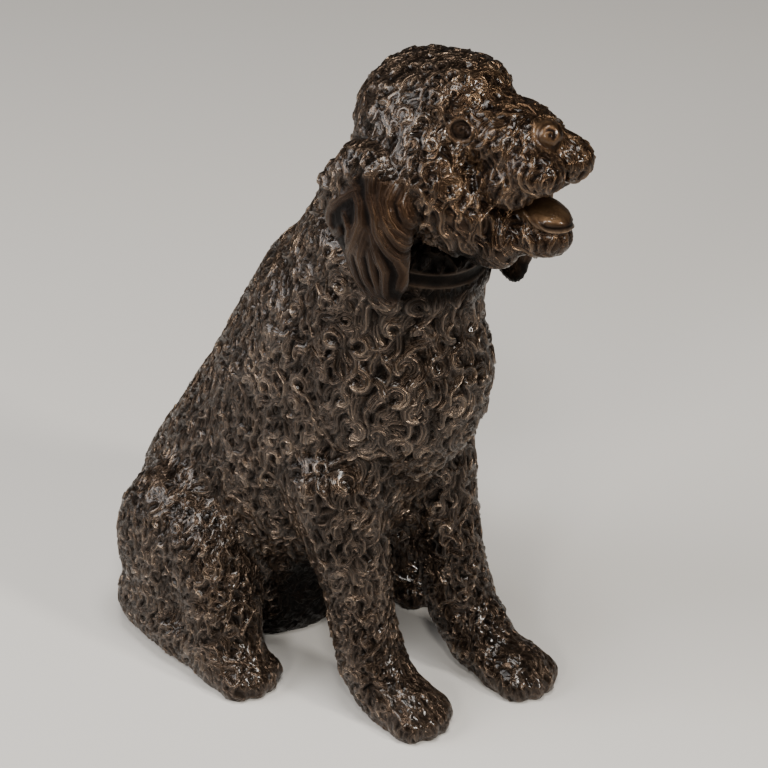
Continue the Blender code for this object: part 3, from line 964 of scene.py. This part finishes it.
def new_group(name, inputs, outputs):
    """Start a shader node group with the sockets given as (name, kind, value)."""
    group = bpy.data.node_groups.new(name, "ShaderNodeTree")
    for label, kind, value in inputs:
        socket = group.interface.new_socket(name=label, in_out="INPUT", socket_type=kind)
        if value is not None:
            socket.default_value = value
    for label, kind in outputs:
        group.interface.new_socket(name=label, in_out="OUTPUT", socket_type=kind)
    return group


def add_node(tree, kind, links=None, **settings):
    """Add a node, set its properties and fill or link its inputs."""
    node = tree.nodes.new(kind)
    for name, value in settings.items():
        setattr(node, name, value)
    for name, source in (links or {}).items():
        socket = node.inputs[name]
        if isinstance(source, bpy.types.NodeSocket):
            tree.links.new(source, socket)
        else:
            socket.default_value = source
    return node


def carved_value(tree, name):
    """Read one of the carving's values from the mesh."""
    return add_node(tree, "ShaderNodeAttribute", attribute_name=name).outputs["Fac"]


def hair_line_group():
    """Fine hairs along the carved strands, as a height."""
    group = new_group(
        "fine hairs",
        [("Hairs per strand", "NodeSocketFloat", 2.0), ("Amount", "NodeSocketFloat", 1.0)],
        [("Height", "NodeSocketFloat")],
    )
    start = add_node(group, "NodeGroupInput")
    end = add_node(group, "NodeGroupOutput")
    strands = carved_value(group, "strands")
    place = add_node(group, "ShaderNodeTexCoord").outputs["Object"]
    wobble = add_node(group, "ShaderNodeTexNoise", {"Vector": place, "Scale": 180.0, "Detail": 2.0})
    shift = add_node(
        group, "ShaderNodeMath", {0: wobble.outputs["Fac"], 1: 0.5}, operation="MULTIPLY"
    )
    turns = add_node(group, "ShaderNodeMath", {0: strands, 1: shift.outputs[0]}, operation="ADD")
    times = add_node(
        group, "ShaderNodeMath", {0: turns.outputs[0], 1: start.outputs["Hairs per strand"]},
        operation="MULTIPLY",
    )
    angle = add_node(
        group, "ShaderNodeMath", {0: times.outputs[0], 1: math.tau}, operation="MULTIPLY"
    )
    wave = add_node(group, "ShaderNodeMath", {0: angle.outputs[0]}, operation="SINE")
    half_turns = add_node(group, "ShaderNodeMath", {0: strands, 1: math.pi}, operation="MULTIPLY")
    swing = add_node(group, "ShaderNodeMath", {0: half_turns.outputs[0]}, operation="COSINE")
    ridge = add_node(group, "ShaderNodeMath", {0: swing.outputs[0]}, operation="ABSOLUTE")
    both = add_node(
        group, "ShaderNodeMath", {0: ridge.outputs[0], 1: 2.4, 2: wave.outputs[0]},
        operation="MULTIPLY_ADD",
    )
    height = add_node(
        group, "ShaderNodeMath", {0: both.outputs[0], 1: start.outputs["Amount"]},
        operation="MULTIPLY",
    )
    group.links.new(height.outputs[0], end.inputs["Height"])
    return group


def ramp(tree, source, stops):
    """Colour ramp with the given (place, colour) stops."""
    node = add_node(tree, "ShaderNodeValToRGB", {"Fac": source})
    elements = node.color_ramp.elements
    while len(elements) > 1:
        elements.remove(elements[-1])
    elements[0].position, elements[0].color = stops[0]
    for place, colour in stops[1:]:
        elements.new(place).color = colour
    return node.outputs["Color"]


def bronze_material():
    """Cast bronze under a dark brown patina, rubbed lighter on the crests and waxed."""
    material = bpy.data.materials.new("dark bronze")
    material.use_nodes = True
    tree = material.node_tree
    shader = tree.nodes["Principled BSDF"]
    crest = carved_value(tree, "crest")
    warm = carved_value(tree, "warm")
    smooth = carved_value(tree, "smooth")
    place = add_node(tree, "ShaderNodeTexCoord").outputs["Object"]
    mottle = add_node(tree, "ShaderNodeTexNoise", {"Vector": place, "Scale": 28.0, "Detail": 4.0})
    speck = add_node(tree, "ShaderNodeTexNoise", {"Vector": place, "Scale": 420.0, "Detail": 3.0})
    drift = add_node(
        tree, "ShaderNodeMath", {0: mottle.outputs["Fac"], 1: 0.30, 2: -0.15},
        operation="MULTIPLY_ADD",
    )
    level = add_node(tree, "ShaderNodeMath", {0: crest, 1: drift.outputs[0]}, operation="ADD")
    cool = ramp(tree, level.outputs[0], [
        (0.22, (0.0016, 0.0009, 0.0005, 1)), (0.42, (0.0155, 0.0094, 0.0057, 1)),
        (0.62, (0.056, 0.037, 0.025, 1)), (0.90, (0.205, 0.149, 0.104, 1)),
    ])
    brown = ramp(tree, level.outputs[0], [
        (0.22, (0.0020, 0.0008, 0.0004, 1)), (0.42, (0.0210, 0.0100, 0.0044, 1)),
        (0.62, (0.079, 0.044, 0.021, 1)), (0.90, (0.260, 0.165, 0.090, 1)),
    ])
    colour = mix_colour(tree, warm, cool, brown)
    tree.links.new(colour, shader.inputs["Base Color"])
    gloss = add_node(tree, "ShaderNodeMapRange", {
        "Value": level.outputs[0], "From Min": 0.2, "From Max": 1.0, "To Min": 0.42, "To Max": 0.22,
    })
    satin = add_node(
        tree, "ShaderNodeMath", {0: smooth, 1: 0.16, 2: gloss.outputs["Result"]},
        operation="MULTIPLY_ADD",
    )
    tree.links.new(satin.outputs[0], shader.inputs["Roughness"])
    shader.inputs["Metallic"].default_value = 0.9
    wax = add_node(tree, "ShaderNodeMapRange", {
        "Value": level.outputs[0], "From Min": 0.30, "From Max": 0.70, "To Min": 0.0,
        "To Max": 0.50,
    })
    tree.links.new(wax.outputs["Result"], shader.inputs["Coat Weight"])
    shader.inputs["Coat Roughness"].default_value = 0.15
    hairs = add_node(tree, "ShaderNodeGroup", node_tree=hair_line_group())
    hairs.inputs["Hairs per strand"].default_value = 2.0
    raised = add_node(
        tree, "ShaderNodeMapRange", {"Value": crest, "From Min": 0.22, "From Max": 0.50}
    )
    bare = add_node(
        tree, "ShaderNodeMath", {0: raised.outputs["Result"], 1: smooth}, operation="SUBTRACT",
        use_clamp=True,
    )
    tree.links.new(bare.outputs[0], hairs.inputs["Amount"])
    grain = add_node(
        tree, "ShaderNodeMath", {0: speck.outputs["Fac"], 1: 0.9, 2: hairs.outputs["Height"]},
        operation="MULTIPLY_ADD",
    )
    bump = add_node(
        tree, "ShaderNodeBump", {"Strength": 0.7, "Distance": 0.0006, "Height": grain.outputs[0]}
    )
    tree.links.new(bump.outputs["Normal"], shader.inputs["Normal"])
    return material


def mix_colour(tree, factor, first, second):
    """Blend two colours by a factor."""
    node = tree.nodes.new("ShaderNodeMix")
    node.data_type = "RGBA"
    tree.links.new(factor, node.inputs[0])
    tree.links.new(first, node.inputs[6])
    tree.links.new(second, node.inputs[7])
    return node.outputs[2]


# Floor, light and camera

CAMERA_PLACE = (-1.4181, -1.3171, 1.314)
CAMERA_TURN = -48.0      # degrees about the vertical, 0 looks along +Y
CAMERA_TILT = 28.42      # degrees below the horizon
LENS = 121.9             # on a 36 mm wide sensor


def build_floor():
    """Plain pale floor."""
    bpy.ops.mesh.primitive_plane_add(size=14.0)
    floor = bpy.context.object
    floor.name = "floor"
    material = bpy.data.materials.new("pale floor")
    material.use_nodes = True
    shader = material.node_tree.nodes["Principled BSDF"]
    shader.inputs["Base Color"].default_value = (0.52, 0.505, 0.48, 1.0)
    shader.inputs["Roughness"].default_value = 0.65
    floor.data.materials.append(material)


def add_softbox(name, place, size, power, colour):
    """One rectangular soft light aimed at the middle of the statue."""
    light = bpy.data.lights.new(name, "AREA")
    light.shape = "RECTANGLE"
    light.size, light.size_y = size
    light.energy = power
    light.color = colour
    lamp = bpy.data.objects.new(name, light)
    lamp.location = place
    aim = Vector(LIGHT_TARGET) - Vector(place)
    lamp.rotation_euler = aim.to_track_quat("-Z", "Y").to_euler()
    bpy.context.scene.collection.objects.link(lamp)


LIGHT_TARGET = (0.0, 0.0, 0.32)
# Soft boxes as name, place, width and height in metres, power in watts and colour.
SOFTBOXES = [
    ("window", (-2.6, 1.6, 2.4), (2.0, 1.6), 115.0, (1.0, 0.98, 0.96)),
    ("side window", (-2.2, 2.6, 1.1), (1.4, 1.2), 45.0, (0.98, 0.98, 1.0)),
    ("overhead", (-0.4, -0.6, 3.0), (1.0, 1.0), 80.0, (1.0, 0.97, 0.93)),
    ("front left", (-3.0, -1.2, 1.9), (0.6, 0.6), 45.0, (1.0, 0.96, 0.90)),
    ("front right", (0.2, -3.2, 1.9), (0.5, 0.5), 100.0, (1.0, 0.95, 0.88)),
    ("over camera", (-2.0, -1.9, 2.9), (0.4, 0.4), 55.0, (1.0, 0.96, 0.90)),
]


def build_light():
    """Faint warm light all round, with soft boxes above, behind and in front."""
    world = bpy.data.worlds.new("room light")
    world.use_nodes = True
    background = world.node_tree.nodes["Background"]
    background.inputs["Color"].default_value = (1.0, 0.96, 0.92, 1.0)
    background.inputs["Strength"].default_value = 0.06
    bpy.context.scene.world = world
    for name, place, size, power, colour in SOFTBOXES:
        add_softbox(name, place, size, power, colour)


def build_camera():
    """Camera where the photograph was taken from."""
    camera = bpy.data.cameras.new("camera")
    camera.sensor_width = 36.0
    camera.lens = LENS
    holder = bpy.data.objects.new("camera", camera)
    holder.location = CAMERA_PLACE
    holder.rotation_euler = (math.radians(90.0 - CAMERA_TILT), 0.0, math.radians(CAMERA_TURN))
    bpy.context.scene.collection.objects.link(holder)
    bpy.context.scene.camera = holder


build_camera()
build_floor()
build_light()
dog = build_dog()
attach(dog, "root")
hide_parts("dog_casting")
